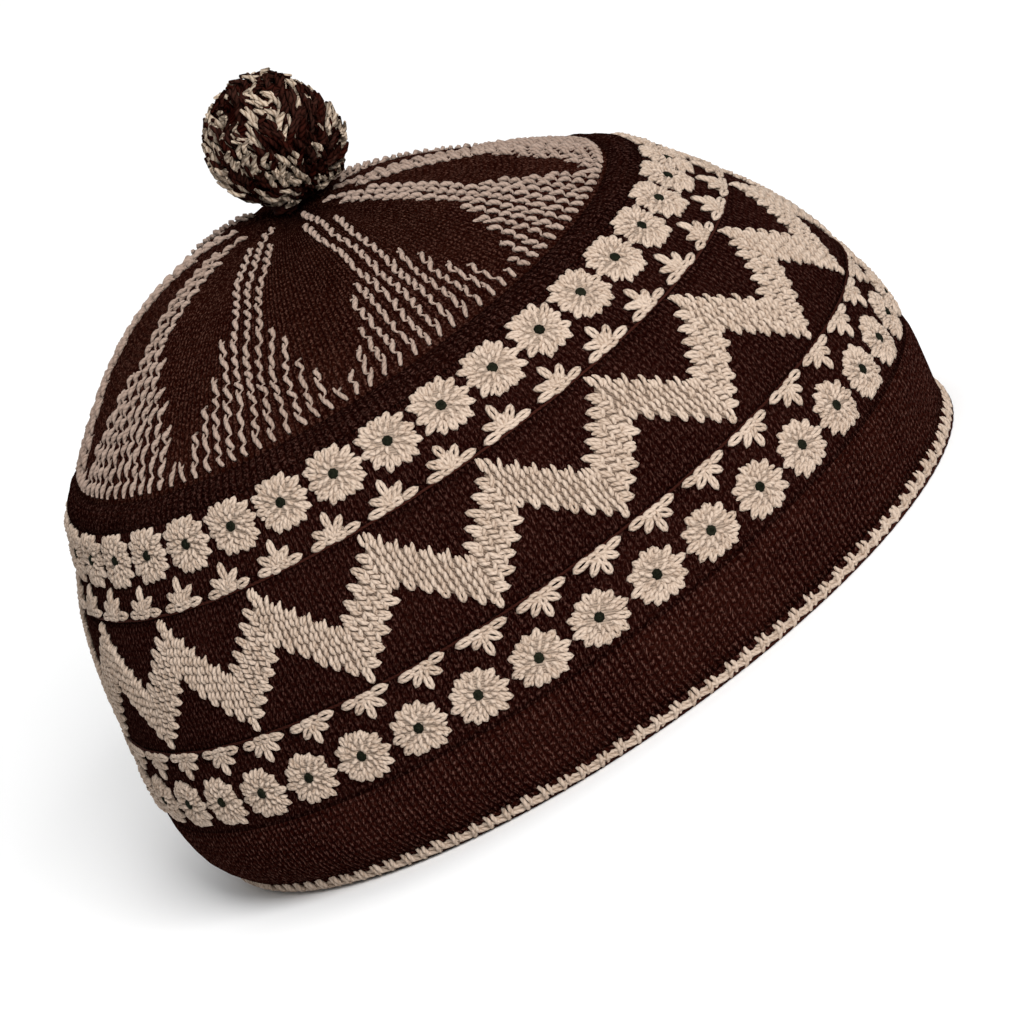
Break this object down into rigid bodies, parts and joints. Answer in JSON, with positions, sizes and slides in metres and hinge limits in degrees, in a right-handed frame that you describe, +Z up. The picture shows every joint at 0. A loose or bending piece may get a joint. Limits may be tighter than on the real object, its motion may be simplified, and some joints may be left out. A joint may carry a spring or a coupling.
{
  "type": "knitted kufi cap with pompom",
  "caption": "Round knitted kufi cap with embroidered flower and zigzag bands, a gored crown with a raised welt, and a pompom; open below to take a head.",
  "frame": {"origin": "middle of the base, under the middle of the widest part of the wall, on the surface the rim rests on", "axes": "+Z up through the crown, -Y towards the side that the picture shows, +X to that side's right"},
  "size_m": [0.188, 0.1884, 0.1436],
  "materials": {
    "maroon_knit": "matt fine knit of dark maroon brown wool",
    "tan_yarn": "matt twisted tan wool yarn",
    "pompom_yarn": "matt cut yarn, tan and dark maroon brown mixed"
  },
  "bodies": {
    "root": {"hem_edging": "tan_yarn", "ribbed_hem": "maroon_knit", "lower_flower_band": "maroon_knit", "zigzag_band": "maroon_knit", "upper_flower_band": "maroon_knit", "crown_welt": "maroon_knit", "crown": "maroon_knit", "pompom_tie": "maroon_knit", "pompom": "pompom_yarn"}
  },
  "joints": []
}
